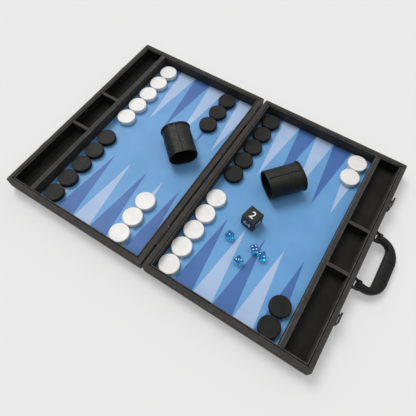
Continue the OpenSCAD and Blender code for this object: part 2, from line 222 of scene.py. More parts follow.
class Material(Finish):
    """A material, with its shader, its place on the object and its mask of worn edges."""

    def __init__(self, name, **plain):
        self.made = bpy.data.materials.new(name)
        self.made.use_nodes = True
        super().__init__(self.made.node_tree)
        self.shader = self.tree.nodes["Principled BSDF"]
        for key, value in plain.items():
            self.shader.inputs[key.replace("_", " ")].default_value = value
        self.place = self.node("ShaderNodeTexCoord").outputs["Object"]
        self.edge = self.mask("edge")

    def mask(self, name):
        return self.node("ShaderNodeAttribute", attribute_name=name).outputs["Fac"]

    def grain(self, scale, detail=3.0, rough=0.55):
        """Noise fixed to the object."""
        return self.noise(self.place, scale, detail, rough)

    def wear_and_highlight(self):
        return self.effect(wear_and_highlight_group, Vector=self.place, Edge=self.edge)

    def done(self, colour, gloss, height=None, depth=0.0):
        """Feeds the shader its colour, its roughness, and a height in 0..1 that is depth metres tall."""
        self.feed(self.shader.inputs["Base Color"], colour)
        self.feed(self.shader.inputs["Roughness"], gloss)
        if height is not None:
            relief = self.node("ShaderNodeBump", {"Height": height, "Distance": depth, "Strength": 1.0})
            self.feed(self.shader.inputs["Normal"], relief.outputs["Normal"])
        return self.made


def shade(colour, share, lift=0.0):
    """A darker or lighter shade of a colour."""
    return tuple(min(1.0, share * c + lift) for c in colour[:3]) + (1.0,)


def leather(name, dark, light, rub_and_highlight, pebbles, depth, rough, shine=0.3):
    """Grained black leatherette: darker in its grain creases, near black in concave folds as painted shade, and
    paler and smoother on its edges, where hands rub it and a painted highlight lies.
    """
    m = Material(name, IOR=1.46, Specular_IOR_Level=shine)
    pebbled, wear_and_highlight, crease_shade = m.effect(grain_group, Vector=m.place, Pebbles=pebbles), m.wear_and_highlight(), m.mask("crease_shade")
    body = m.mixed(m.ramp(pebbled["Patches"], 0.3, 0.7), dark, light)
    body = m.mixed(m.times(pebbled["Creases"], 0.45), body, shade(dark, 0.45))
    # Convex edges turn pale: wear, and on the case leatherette partly a painted highlight.
    body = m.mixed(m.times(wear_and_highlight["RubAndHighlight"], 0.7), body, rub_and_highlight)
    # Concave folds turn near black: painted shade in the creases and joints.
    body = m.mixed(m.ramp(crease_shade, 0.0, 0.8), body, (0.0015, 0.0014, 0.0013, 1.0))
    gloss = m.plus(rough, m.times(wear_and_highlight["Smears"], -0.07))
    gloss = m.plus(gloss, m.times(pebbled["Creases"], 0.16))
    gloss = m.maths("SUBTRACT", gloss, m.times(wear_and_highlight["RubAndHighlight"], 0.08))
    return m.done(body, m.maths("MAXIMUM", gloss, m.times(crease_shade, 0.95)), pebbled["Height"], depth)


# Case leatherette: the pale edge colour is partly wear and partly a painted highlight along rims and rails.
case_leather = leather("case_leatherette", (0.0430, 0.0412, 0.0382, 1), (0.0560, 0.0536, 0.0498, 1),
                       (0.16, 0.153, 0.141, 1), 1050.0, 0.00016, 0.52, 0.14)


def flock(name, low, high, fleck, coarse):
    """Flocked cloth: a short uneven nap, brushed lighter and darker in soft patches."""
    m = Material(name, Specular_IOR_Level=0.12, Sheen_Weight=0.06)
    nap = m.grain(coarse, 4.0, 0.7)
    tint = m.mixed(m.ramp(m.grain(22.0, 3.0, 0.6), 0.3, 0.7), low, high)
    tint = m.mixed(m.times(m.ramp(nap, 0.35, 0.7), 0.5), tint, fleck)
    return m.done(tint, m.ramp(nap, 0.2, 0.8, 0.95, 0.8), nap, 0.0003)


tray_flock = flock("tray_flock", (0.0120, 0.0115, 0.0108, 1), (0.0200, 0.0193, 0.0182, 1),
                   (0.028, 0.027, 0.0255, 1), 700.0)
# Near-black flock for the cup linings and the tray-side faces; on the tray sides its darkness is partly painted
# shade.
lining_and_shade_flock = flock("lining_and_shade_flock", (0.0030, 0.0030, 0.0029, 1), (0.0062, 0.0060, 0.0057, 1),
                   (0.010, 0.0097, 0.0092, 1), 900.0)


def moved(by):
    return Matrix.Translation(by)


def turned(degrees, axis):
    return Matrix.Rotation(math.radians(degrees), 4, axis)


def new_verts(made):
    return [g for g in made if isinstance(g, bmesh.types.BMVert)]


def edge_ring(bm, points):
    """A closed ring of edges through the points."""
    verts = [bm.verts.new(p) for p in points]
    return [bm.edges.new((a, b)) for a, b in zip(verts, verts[1:] + verts[:1])]


def skin_rings(bm, rings, closed):
    """Skins one ring to the next, then either joins the last to the first or caps both ends."""
    first = loop = edge_ring(bm, rings[0])
    start = verts = [edge.verts[0] for edge in loop]
    for ring in rings[1:] + (rings[:1] if closed else []):
        grown = set(new_verts(bmesh.ops.extrude_edge_only(bm, edges=loop)["geom"]))
        verts = [next(e.other_vert(v) for e in v.link_edges if e.other_vert(v) in grown) for v in verts]
        for vert, point in zip(verts, ring):
            vert.co = point
        loop = [bm.edges.get(pair) for pair in zip(verts, verts[1:] + verts[:1])]
    if closed:
        bmesh.ops.remove_doubles(bm, verts=start + verts, dist=0.0001)
    else:
        bmesh.ops.holes_fill(bm, edges=first + loop, sides=0)


def rounded_plan(low, high, radius, z):
    """Points of a rounded rectangle from low to high at height z."""
    points, steps = [], 5
    for cx, cy, start in ((high[0] - radius, high[1] - radius, 0), (low[0] + radius, high[1] - radius, 90),
                          (low[0] + radius, low[1] + radius, 180), (high[0] - radius, low[1] + radius, 270)):
        for i in range(steps + 1):
            a = math.radians(start + 90 * i / steps)
            points.append((cx + radius * math.cos(a), cy + radius * math.sin(a), z))
    return points


def ease_edges(bm, edges, width, segments=3):
    """Rounds the edges with the bevel operator."""
    bmesh.ops.bevel(bm, geom=list(edges), offset=width, offset_type="OFFSET", affect="EDGES",
                    segments=segments, profile=0.5, material=-1, clamp_overlap=True)


def sharp_edges(bm, degrees=35.0):
    return [e for e in bm.edges if len(e.link_faces) == 2 and e.calc_face_angle(0.0) > math.radians(degrees)]


def face_outwards(bm):
    """Turns every closed shell of a mesh so that its faces point out of it."""
    bmesh.ops.recalc_face_normals(bm, faces=bm.faces)
    done = set()
    for first in bm.faces:
        if first in done:
            continue
        done.add(first)
        shell = [first]
        for face in shell:
            for near in (f for e in face.edges for f in e.link_faces if f not in done):
                done.add(near)
                shell.append(near)
        origin = first.calc_center_median()
        if sum((f.calc_center_median() - origin).dot(f.normal) * f.calc_area() for f in shell) < 0:
            bmesh.ops.reverse_faces(bm, faces=shell)


def finish_piece(name, bm, materials, body, nodes=(), place=Matrix.Identity(4), crease=50.0):
    """Places a mesh made in millimetres, marks its convex edges for wear and painted highlight and its concave
    folds for painted shade, and fixes it to its body.
    """
    bmesh.ops.transform(bm, matrix=place, verts=bm.verts)
    face_outwards(bm)
    wide = [f for f in bm.faces if min(e.calc_length() for e in f.edges) > 4.0]
    bmesh.ops.inset_individual(bm, faces=wide, thickness=0.7, use_even_offset=True)
    bmesh.ops.scale(bm, vec=(MM, MM, MM), verts=bm.verts)
    wear_and_highlight_edge, crease_shade_mask = bm.verts.layers.float.new("edge"), bm.verts.layers.float.new("crease_shade")
    for vert in bm.verts:
        bends = [e.calc_face_angle_signed(0.0) for e in vert.link_edges if len(e.link_faces) == 2]
        # Convex vertices get the edge mask for wear and painted highlight.
        vert[wear_and_highlight_edge] = min(1.0, max(0.0, max(bends, default=0.0) / 0.35))
        # Concave vertices get the crease mask that the leatherette paints near black as shade.
        vert[crease_shade_mask] = min(1.0, max(0.0, -min(bends, default=0.0) / 0.35))
    for face in bm.faces:
        face.smooth = True
    for edge in bm.edges:
        if len(edge.link_faces) == 2 and edge.calc_face_angle(0.0) > math.radians(crease):
            edge.smooth = False
    data = bpy.data.meshes.new(name)
    bm.to_mesh(data)
    bm.free()
    piece = bpy.data.objects.new(name, data)
    bpy.context.scene.collection.objects.link(piece)
    for material in materials:
        data.materials.append(material)
    weighted = piece.modifiers.new("even_shading", "WEIGHTED_NORMAL")
    weighted.keep_sharp = True
    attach(piece, body)
    if nodes:
        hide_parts(*nodes)


RIM_ROUND, INNER_ROUND, CORNER_ROUND = 1.5, 1.1, 4.0
RECESS_DROP, RECESS_DEEP, JOINT_DEEP = 6.4, 2.8, 2.2


def case_walls(side, body):
    """One half's four walls as a single wrapped skin; only the recess runs on across the hinge face."""
    low, high = node_box("frame_" + side)
    board_low, board_high = node_box("board_" + side)
    tray_low, tray_high = node_box("tray_floor_" + side)
    hole_low = (min(board_low.x, tray_low.x), board_low.y)
    hole_high = (max(board_high.x, tray_high.x), board_high.y)
    hinge_is_low = side == "right"
    rim, base = high.z, low.z

    def outer(inset, z, grooved=True):
        hinge_inset = inset if grooved else 0.0
        x0 = low.x + (hinge_inset if hinge_is_low else inset)
        x1 = high.x - (inset if hinge_is_low else hinge_inset)
        return rounded_plan((x0, low.y + inset), (x1, high.y - inset),
                            max(0.6, CORNER_ROUND - inset), z)

    def inner(inset, z):
        return rounded_plan((hole_low[0] - inset, hole_low[1] - inset),
                            (hole_high[0] + inset, hole_high[1] + inset), 0.5 + inset, z)

    rings = [outer(2.6, base), outer(1.7, base + 0.45), outer(0.9, base + 1.3), outer(0.3, base + 2.6),
             outer(0.0, base + 4.2)]
    recess = [(0.0, 2.6), (0.35, 2.1), (RECESS_DEEP - 0.4, 1.8), (RECESS_DEEP, 1.2)]
    for inset, rise in [(i, -r) for i, r in recess] + recess[::-1]:
        rings.append(outer(inset, rim - RECESS_DROP + rise, grooved=False))
    for i in range(6):
        a = math.radians(18 * i)
        rings.append(outer(RIM_ROUND * (1 - math.cos(a)), rim - RIM_ROUND * (1 - math.sin(a))))
    # The wrap and the lining meet in a narrow open joint along the top, near the inside.
    rings += [inner(4.1, rim), inner(3.8, rim - 0.3), inner(3.6, rim - JOINT_DEEP),
              inner(2.5, rim - JOINT_DEEP), inner(2.3, rim - 0.5), inner(2.0, rim - 0.2)]
    for i in range(5):
        a = math.radians(22.5 * i)
        rings.append(inner(INNER_ROUND * (1 - math.sin(a)), rim - 0.2 - INNER_ROUND * (1 - math.cos(a))))
    rings.append(inner(0.0, base))
    bm = bmesh.new()
    skin_rings(bm, rings, closed=True)
    split = node_box("divider_" + side)[0 if hinge_is_low else 1].x
    bmesh.ops.bisect_plane(bm, geom=bm.verts[:] + bm.edges[:] + bm.faces[:], dist=0.0001,
                           plane_co=(split, 0, 0), plane_no=(1, 0, 0))
    for face in bm.faces:
        middle = face.calc_center_median()
        in_tray = middle.x > split if hinge_is_low else middle.x < split
        inside = (hole_low[0] - 0.6 < middle.x < hole_high[0] + 0.6
                  and hole_low[1] - 0.6 < middle.y < hole_high[1] + 0.6)
        # Tray-side inner faces take the near-black flock, partly as painted shade.
        if in_tray and inside and middle.z < rim - 1.6:
            face.material_index = 1
    finish_piece("case_walls_" + side, bm, [case_leather, lining_and_shade_flock], body, ["frame_" + side])


HALVES = (("right", "right_half"), ("left", "left_half"))
for half, half_body in HALVES:
    case_walls(half, half_body)


# --- Bottom panels --------------------------------------------------------------------------
# A thin covered board closes the underside of each half. It sits a little inside the walls,
# glued to them, and its own edge is rounded over so that the case looks soft underneath.
for half, half_body in HALVES:
    low, high = node_box("bottom_" + half)
    panel = bmesh.new()
    rings = []
    for inset, z in ((0.1, high.z), (0.1, high.z - 0.7), (0.45, high.z - 1.6), (1.2, high.z - 2.4),
                     (2.4, high.z - 2.85), (3.8, low.z)):
        rings.append(rounded_plan((low.x + inset, low.y + inset), (high.x - inset, high.y - inset),
                                  CORNER_ROUND, z))
    skin_rings(panel, rings, closed=False)
    finish_piece("bottom_panel_" + half, panel, [case_leather], half_body, ["bottom_" + half])


# --- Dividers and partitions ---------------------------------------------------------------
# Rails wrapped in the same leatherette: one long divider between each field and its side tray,
# level with the rims, and two low cross pieces in each tray, glued in. Their faces in the tray take the
# near-black flock, which stands partly for painted shade.
def add_part(bm, part, place=Matrix.Identity(4)):
    """Puts a finished part, with its doubles merged, into a larger mesh."""
    bmesh.ops.remove_doubles(part, verts=part.verts, dist=0.0005)
    bmesh.ops.transform(part, matrix=place, verts=part.verts)
    carrier = bpy.data.meshes.new("part")
    part.to_mesh(carrier)
    part.free()
    bm.from_mesh(carrier)
    bpy.data.meshes.remove(carrier)


def block(bm, low, high, width=0.0, segments=2, place=Matrix.Identity(4), only=lambda edge: True):
    """A block from low to high with its edges eased, then put in place."""
    low, high = Vector(low), Vector(high)
    part = bmesh.new()
    bmesh.ops.create_cube(part, size=1.0, matrix=moved((low + high) / 2)
                          @ Matrix.Diagonal((*(high - low), 1.0)))
    ease_edges(part, [e for e in part.edges if only(e)], width, segments)
    add_part(bm, part, place)


def wrapped_rail(bm, low, high, radius, long_axis):
    """A wrapped rail: a block whose two long top edges are rounded."""
    block(bm, low, high, radius, 4, only=lambda e: min(v.co.z for v in e.verts) > high.z - 0.01
          and abs(e.verts[0].co[long_axis] - e.verts[1].co[long_axis]) > 1.0)


for half, half_body in HALVES:
    low, high = node_box("divider_" + half)
    rail = bmesh.new()
    wrapped_rail(rail, low, high, 1.5, 1)
    tray_side = high.x if half == "right" else low.x
    # The divider's tray-side face takes the near-black flock, partly as painted shade.
    for face in rail.faces:
        face.material_index = int(abs(face.calc_center_median().x - tray_side) < 0.01)
    finish_piece("tray_divider_" + half, rail, [case_leather, lining_and_shade_flock], half_body,
                 ["divider_" + half])
    low, high = node_box("partitions_" + half)
    rail = bmesh.new()
    for start in (low.y, high.y - 7.0):
        wrapped_rail(rail, Vector((low.x, start, low.z)), Vector((high.x, start + 7.0, high.z)), 1.4, 0)
    # The partitions' large side faces take the near-black flock, partly as painted shade.
    for face in rail.faces:
        face.material_index = int(face.calc_area() > 200.0 and face.calc_center_median().z < high.z - 1.0)
    finish_piece("tray_partitions_" + half, rail, [case_leather, lining_and_shade_flock], half_body,
                 ["partitions_" + half])


# --- Playing fields and points ---------------------------------------------------------------
# Each field is a board faced with smooth light blue vinyl. Twelve long triangles of the same
# vinyl, dark blue and pale blue by turns, are cut and laid in flush, with a fine joint round each.
def vinyl(name, colour, warm, rough=0.52):
    """Smooth matt vinyl with a very fine tooth, faint clouds in its colour and a few long marks."""
    m = Material(name, IOR=1.45, Specular_IOR_Level=0.35)
    clouds, tooth, wear_and_highlight = m.grain(16.0, 4.0, 0.55), m.grain(1500.0, 2.0, 0.6), m.wear_and_highlight()
    tint = m.mixed(m.ramp(clouds, 0.3, 0.7), colour, warm)
    tint = m.mixed(m.times(m.ramp(tooth, 0.35, 0.65), 0.16), tint, shade(colour, 0.72))
    gloss = m.plus(rough, m.times(wear_and_highlight["Smears"], -0.08))
    return m.done(tint, gloss, m.plus(m.times(tooth, 0.25), m.times(clouds, 0.75)), 0.00022)


FIELD_FINISHES = {
    "field_blue": vinyl("field_vinyl_blue", (0.122, 0.325, 0.622, 1), (0.145, 0.365, 0.672, 1)),
    "points_dark": vinyl("point_vinyl_dark", (0.050, 0.138, 0.385, 1), (0.062, 0.160, 0.422, 1)),
    "points_pale": vinyl("point_vinyl_pale", (0.365, 0.495, 0.72, 1), (0.405, 0.540, 0.765, 1)),
}


def recoat(node, material):
    """A CAD node whose shape is right keeps its mesh and takes a finished material."""
    data = frame["nodes"][node].data
    data.materials.clear()
    data.materials.append(material)


def eased_copy(node, width, segments=2):
    """A merged copy of a CAD node, in millimetres, with its top edges eased."""
    bm = bmesh.new()
    bm.from_mesh(frame["nodes"][node].data)
    bmesh.ops.scale(bm, vec=(1 / MM, 1 / MM, 1 / MM), verts=bm.verts)
    bmesh.ops.remove_doubles(bm, verts=bm.verts, dist=0.001)
    bmesh.ops.dissolve_limit(bm, angle_limit=math.radians(1.0), verts=bm.verts, edges=bm.edges)
    top = max(v.co.z for v in bm.verts)
    ease_edges(bm, [e for e in sharp_edges(bm) if all(abs(v.co.z - top) < 1e-3 for v in e.verts)],
               width, segments)
    return bm


for half, half_body in HALVES:
    recoat("board_" + half, FIELD_FINISHES["field_blue"])
    for tone in ("points_dark", "points_pale"):
        finish_piece(tone + "_inlay_" + half, eased_copy(tone + "_" + half, 0.14),
                     [FIELD_FINISHES[tone]], half_body, [tone + "_" + half])


# --- Tray linings ----------------------------------------------------------------------------
# A board lined with black flocked cloth lies in the bottom of each side tray.
for half, half_body in HALVES:
    recoat("tray_floor_" + half, tray_flock)


# --- Feet -------------------------------------------------------------------------------------
# Four low round rubber feet stand under the corners of each half, pressed on from below, each
# with a slightly domed face and a rounded edge.
m = Material("feet_rubber", IOR=1.5)
speck = m.grain(1400.0, 3.0, 0.7)
rubber = m.done(m.mixed(m.ramp(speck, 0.3, 0.7), (0.012, 0.012, 0.012, 1), (0.026, 0.026, 0.026, 1)),
                m.ramp(speck, 0.2, 0.8, 0.72, 0.9), speck, 0.00012)


def lathe(bm, profile, steps, place=Matrix.Identity(4)):
    """Turns a profile of (radius, height) pairs, whose ends lie on the axis, round Z, then puts it in place."""
    part = bmesh.new()
    verts = [part.verts.new((r, 0.0, z)) for r, z in profile]
    edges = [part.edges.new(pair) for pair in zip(verts, verts[1:])]
    bmesh.ops.spin(part, geom=verts + edges, cent=(0, 0, 0), axis=(0, 0, 1), dvec=(0, 0, 0),
                   angle=2 * math.pi, steps=steps, use_merge=True, use_normal_flip=False,
                   use_duplicate=False)
    add_part(bm, part, place)


FOOT_R = 10.0
FOOT_PROFILE = ((0.0, 0.0), (5.0, 0.0), (8.2, 0.12), (9.3, 0.55), (9.8, 1.2), (FOOT_R, 2.2), (FOOT_R, 3.0),
                (0.0, 3.0))
for half, half_body in HALVES:
    low, high = node_box("feet_" + half)
    feet = bmesh.new()
    for x in (low.x + FOOT_R, high.x - FOOT_R):
        for y in (low.y + FOOT_R, high.y - FOOT_R):
            lathe(feet, FOOT_PROFILE, 40, moved((x, y, low.z)))
    finish_piece("rubber_feet_" + half, feet, [rubber], half_body, ["feet_" + half])


# --- Hinges ---------------------------------------------------------------------------------
# Two butt hinges of black-lacquered steel join the halves at the bars. Their leaves stand in the
# gap between the bars, three knuckles on one and two on the other, on a bright steel pin.
def metal(name, colour, wear_and_highlight_edge, rough, metallic, streak, shine=0.5):
    """Plated or lacquered metal: fine drawn streaks, soft smears, and edges rubbed brighter."""
    m = Material(name, Metallic=metallic, Specular_IOR_Level=shine)
    wear_and_highlight = m.wear_and_highlight()
    lines = m.noise(m.stretched(m.place, (400.0, 60.0, 3000.0)), 1.0, 3.0, 0.6)
    body = m.mixed(m.times(lines, streak), colour, shade(colour, 1.6))
    body = m.mixed(m.times(wear_and_highlight["RubAndHighlight"], 0.7), body, wear_and_highlight_edge)
    gloss = m.plus(m.plus(rough, m.times(lines, 0.12)), m.times(wear_and_highlight["Smears"], 0.06))
    return m.done(body, gloss, lines, 0.00002)


black_metal = metal("lacquered_steel", (0.008, 0.008, 0.0078, 1), (0.040, 0.040, 0.038, 1),
                    0.42, 0.0, 0.4, 0.25)
bright_steel = metal("bright_steel", (0.56, 0.56, 0.57, 1), (0.72, 0.72, 0.72, 1), 0.2, 1.0, 0.25)


def rod(bm, radius, start, end, width=0.2, steps=28):
    """A round bar between two points, its ends eased."""
    start, end = Vector(start), Vector(end)
    length = (end - start).length
    turn = (end - start).to_track_quat("Z", "Y").to_matrix().to_4x4()
    profile = [(0.0, 0.0), (radius - width, 0.0), (radius - 0.3 * width, 0.3 * width), (radius, width),
               (radius, length - width), (radius - 0.3 * width, length - 0.3 * width),
               (radius - width, length), (0.0, length)]
    lathe(bm, profile, steps, moved(start) @ turn)


pin_low, pin_high = node_box("hinge_pins")
hinge_x, hinge_z = (pin_low.x + pin_high.x) / 2, (pin_low.z + pin_high.z) / 2
KNUCKLE = 8.4
hinge_ends = ((pin_low.y + 0.5, pin_low.y + 5 * KNUCKLE + 0.5),
              (pin_high.y - 5 * KNUCKLE - 0.5, pin_high.y - 0.5))
for half, half_body in HALVES:
    at = moved((hinge_x, 0, hinge_z)) @ Matrix.Scale(1.0 if half == "right" else -1.0, 4, (1, 0, 0))
    leaves = bmesh.new()
    for start, end in hinge_ends:
        block(leaves, (1.0, start, -22.0), (2.2, end, -2.3), 0.25, place=at)
        for k in ((0, 2, 4) if half == "right" else (1, 3)):
            a, b = start + KNUCKLE * k + 0.1, start + KNUCKLE * (k + 1) - 0.1
            block(leaves, (1.0, a, -2.6), (2.2, b, 0.0), 0.2, place=at)
            rod(leaves, 2.1, (hinge_x, a, hinge_z), (hinge_x, b, hinge_z), 0.25)
    finish_piece("hinge_leaf_" + half, leaves, [black_metal], half_body,
                 ["hinge_leaves_" + half])
pins = bmesh.new()
for start, end in hinge_ends:
    rod(pins, 1.0, (hinge_x, start - 0.5, hinge_z), (hinge_x, end + 0.5, hinge_z), 0.3)
finish_piece("hinge_pin_pair", pins, [bright_steel], "right_half", ["hinge_pins"])


# --- Latches ----------------------------------------------------------------------------------
# Two draw latches on the handle wall: a riveted base with two ears, a lever on a fulcrum pin and
# a claw loop pivoting on the lever, which reaches over the rim. Keepers sit on the far wall.
latch_metal = metal("latch_gunmetal", (0.012, 0.0118, 0.0112, 1), (0.085, 0.082, 0.077, 1),
                    0.34, 0.35, 0.35)
base_low, base_high = node_box("latch_bases")
wall_x = base_low.x
FULCRUM_OUT, FULCRUM_Z, BASE_HALF = 2.8, 25.0, 11.0
RIVET = ((0.0, 0.38), (0.6, 0.33), (0.9, 0.17), (1.0, -0.1), (0.0, -0.1))
KEEPER_RIVET = ((0.0, 0.5), (0.6, 0.44), (1.0, 0.22), (1.15, -0.1), (0.0, -0.1))
latch_y = {"near": base_low.y + BASE_HALF, "far": base_high.y - BASE_HALF}
bases = bmesh.new()
for end in ("near", "far"):
    at = moved((wall_x + FULCRUM_OUT, latch_y[end], FULCRUM_Z))
    block(bases, (-2.8, -BASE_HALF, -14.0), (-1.8, BASE_HALF, 6.0), 0.35, place=at)
    for s in (-6.3, 6.3):
        block(bases, (-1.9, s - 0.5, -4.0), (1.3, s + 0.5, 1.3), 0.2, place=at)
    for y in (-9.75, 9.75):
        for z in (-12.2, 3.8):
            lathe(bases, RIVET, 20, at @ moved((-1.8, y, z)) @ turned(90, "Y"))
finish_piece("latch_base_pair", bases, [latch_metal], "right_half", ["latch_bases"])
fulcrums = bmesh.new()
for end in ("near", "far"):
    x, y = wall_x + FULCRUM_OUT, latch_y[end]
    rod(fulcrums, 0.8, (x, y - 8.6, FULCRUM_Z), (x, y + 8.6, FULCRUM_Z), 0.2)
finish_piece("latch_fulcrum_pins", fulcrums, [bright_steel], "right_half", ["latch_pins"])
for end in ("near", "far"):
    at = moved((wall_x + FULCRUM_OUT, latch_y[end], FULCRUM_Z))
    lever = bmesh.new()
    for s in (-1.0, 1.0):
        y = s * 7.95
        block(lever, (-1.2, y - 0.55, -12.0), (2.8, y + 0.55, 1.2), 0.25, place=at)
        inner_end, outer_end = at @ Vector((0, s * 8.3, -8.0)), at @ Vector((0, s * 9.9, -8.0))
        rod(lever, 0.8, inner_end, outer_end, 0.2)
    block(lever, (1.6, -8.5, -12.5), (2.8, 8.5, -0.1), 0.45, 3, place=at)
    finish_piece("latch_lever_plate_" + end, lever, [latch_metal], "lever_" + end,
                 ["latch_lever_" + end])
    claw = bmesh.new()
    for s in (-1.0, 1.0):
        y = s * 9.3
        block(claw, (-1.2, y - 0.6, -9.4), (1.2, y + 0.6, 16.6), 0.3, place=at)
    block(claw, (-2.4, -9.9, 15.8), (1.2, 9.9, 17.0), 0.4, 3, place=at)
    finish_piece("latch_claw_loop_" + end, claw, [latch_metal], "claw_" + end,
                 ["latch_claw_" + end])
keep_low, keep_high = node_box("latch_keepers")
keepers = bmesh.new()
for y in (keep_low.y + 10.0, keep_high.y - 10.0):
    at = moved((keep_high.x, y, 34.0)) @ Matrix.Scale(-1.0, 4, (1, 0, 0))
    block(keepers, (0.0, -10.0, -12.0), (1.0, 10.0, -1.0), 0.3, place=at)
    block(keepers, (0.6, -8.0, -6.6), (4.2, 8.0, -5.2), 0.35, 3, place=at)
    for side_y in (-7.6, 7.6):
        lathe(keepers, KEEPER_RIVET, 18, at @ moved((1.0, side_y, -9.6)) @ turned(90, "Y"))
finish_piece("latch_keeper_pair", keepers, [latch_metal], "left_half", ["latch_keepers"])


# --- Handle ----------------------------------------------------------------------------------
# Two lacquered brackets are screwed to the wall, each with two ears and a steel pin. The D-shaped
# grip is a stiff core under padded leatherette, closed by a row of stitches along each edge.
handle_leather = leather("grip_leatherette", (0.0055, 0.0053, 0.0051, 1), (0.0085, 0.0082, 0.0078, 1),
                         (0.022, 0.021, 0.020, 1), 1000.0, 0.00018, 0.36, 0.25)
m = Material("black_thread", IOR=1.45)
twist = m.node("ShaderNodeTexWave", {"Vector": m.stretched(m.place, (1.0, 1.0, 1.0), (0.6, 0.4, 0.5)),
                                     "Scale": 900.0, "Distortion": 1.5}).outputs["Fac"]
thread = m.done(m.mixed(twist, (0.016, 0.0155, 0.015, 1), (0.050, 0.048, 0.046, 1)),
                m.ramp(twist, 0.0, 1.0, 0.75, 0.55), twist, 0.00012)

pin_low, pin_high = node_box("handle_pins")
pivot_x, pivot_z = (pin_low.x + pin_high.x) / 2, (pin_low.z + pin_high.z) / 2
BRACKET_HALF = 9.5
bracket_y = node_box("handle_brackets")[1].y - BRACKET_HALF
SCREW_HEAD = ((0.0, 0.75), (1.0, 0.7), (1.9, 0.45), (2.3, 0.1), (2.3, -0.1), (0.0, -0.1))
EAR_R = 4.5
EAR_FLARE = [(-9.9, -7.6), (-9.2, -6.7), (-8.2, -5.9), (-6.8, -5.2), (-4.8, -4.7), (-2.4, -EAR_R)]
brackets = bmesh.new()
for s in (-1.0, 1.0):
    at = moved((pivot_x, s * bracket_y, pivot_z))
    block(brackets, (-11.3, -BRACKET_HALF, -8.0), (-9.8, BRACKET_HALF, 8.0), 0.6, 3, place=at)
    for z in (-5.2, 5.2):
        lathe(brackets, SCREW_HEAD, 24, at @ moved((-9.85, 0, z)) @ turned(90, "Y"))
    for y in (-8.75, 8.75):
        ear = bmesh.new()
        tip = [(EAR_R * math.sin(math.radians(a)), -EAR_R * math.cos(math.radians(a)))
               for a in range(0, 181, 12)]
        side_view = EAR_FLARE + tip + [(x, -z) for x, z in reversed(EAR_FLARE)]
        face = bmesh.ops.contextual_create(
            ear, geom=edge_ring(ear, [(x, y - 0.75, z) for x, z in side_view]))["faces"]
        grown = bmesh.ops.extrude_face_region(ear, geom=face, use_keep_orig=True)["geom"]
        bmesh.ops.translate(ear, vec=(0, 1.5, 0), verts=new_verts(grown))
        bmesh.ops.recalc_face_normals(ear, faces=ear.faces)
        ease_edges(ear, [e for e in ear.edges if any(abs(f.normal.y) > 0.9 for f in e.link_faces)], 0.3)
        add_part(brackets, ear, at)
finish_piece("handle_bracket_pair", brackets, [black_metal], "right_half",
             ["handle_brackets"])
pins = bmesh.new()
for s in (-1.0, 1.0):
    ends = [(pivot_x, s * bracket_y + y, pivot_z) for y in (-BRACKET_HALF, BRACKET_HALF)]
    rod(pins, 1.8, *ends, 0.5)
finish_piece("handle_pin_pair", pins, [bright_steel], "right_half", ["handle_pins"])


# The grip's outline follows its outer edge out and its inner edge back; the section swells
# between the two stitched edges.
GRIP_BACK, END_WIDE, GRIP_R, HOLE_R, GRIP_WIDE, GRIP_OUT = 4.0, 15.4, 41.0, 10.0, 26.0, 49.0
GRIP_STATIONS = 44
hang = moved((pivot_x, 0, pivot_z)) @ turned(17.0, "Y")
end_y = node_box("handle_grip")[1].y


def grip_edge(y, turn_x, middle_x, radius, steps):
    """Half of one edge of the outline, from the bracket end round to the middle, as (x from the pivot, y)."""
    angles = [math.radians(90 - 90 * i / steps) for i in range(steps + 1)]
    return ([(-GRIP_BACK, y), (turn_x, y)]
            + [(middle_x - radius + radius * math.cos(a), y - radius + radius * math.sin(a)) for a in angles]
            + [(middle_x, 24.0), (middle_x, 12.0), (middle_x, 0.0)])


def resample(line, count):
    """The same line with evenly spaced points."""
    spans = [math.dist(a, b) for a, b in zip(line, line[1:])]
    total, points, i, gone = sum(spans), [], 0, 0.0
    for k in range(count):
        want = total * k / (count - 1)
        while i < len(spans) - 1 and gone + spans[i] < want:
            gone += spans[i]
            i += 1
        t = (want - gone) / spans[i] if spans[i] else 0.0
        points.append(tuple(a + (b - a) * t for a, b in zip(line[i], line[i + 1])))
    return points


half_out = resample(grip_edge(end_y, 6.0, GRIP_OUT, GRIP_R, 16), GRIP_STATIONS)
half_in = resample(grip_edge(end_y - END_WIDE, 4.0, GRIP_OUT - GRIP_WIDE, HOLE_R, 10), GRIP_STATIONS)
outer_line = half_out + [(x, -y) for x, y in reversed(half_out[:-1])]
inner_line = half_in + [(x, -y) for x, y in reversed(half_in[:-1])]


def grip_half(station):
    """Half the thickness of the grip at a station: slimmer towards the brackets."""
    far = min(station, len(outer_line) - 1 - station)
    return 6.1 + 1.1 * min(1.0, far / 14.0)


GRIP_FACE = ((0.0, 0.0), (0.012, 0.32), (0.045, 0.58), (0.09, 0.74), (0.12, 0.79), (0.145, 0.79),
             (0.175, 0.86), (0.26, 0.94), (0.38, 0.985), (0.5, 1.0), (0.62, 0.985), (0.74, 0.94), (0.825, 0.86),
             (0.855, 0.79), (0.88, 0.79), (0.91, 0.74), (0.955, 0.58), (0.988, 0.32), (1.0, 0.0))
STITCH_HIGH = 0.79


def grip_section(station):
    """A closed section ring across the grip at one station: flat stitched edges, swollen faces."""
    (ox, oy), (ix, iy) = outer_line[station], inner_line[station]
    half = grip_half(station)
    ring = list(GRIP_FACE) + [(a, -b) for a, b in reversed(GRIP_FACE[1:-1])]
    return [(ox + (ix - ox) * a, oy + (iy - oy) * a, half * b) for a, b in ring]


grip = bmesh.new()
skin_rings(grip, [grip_section(k) for k in range(len(outer_line))], closed=False)
finish_piece("grip_padding", grip, [handle_leather], "handle", ["handle_grip"], hang)


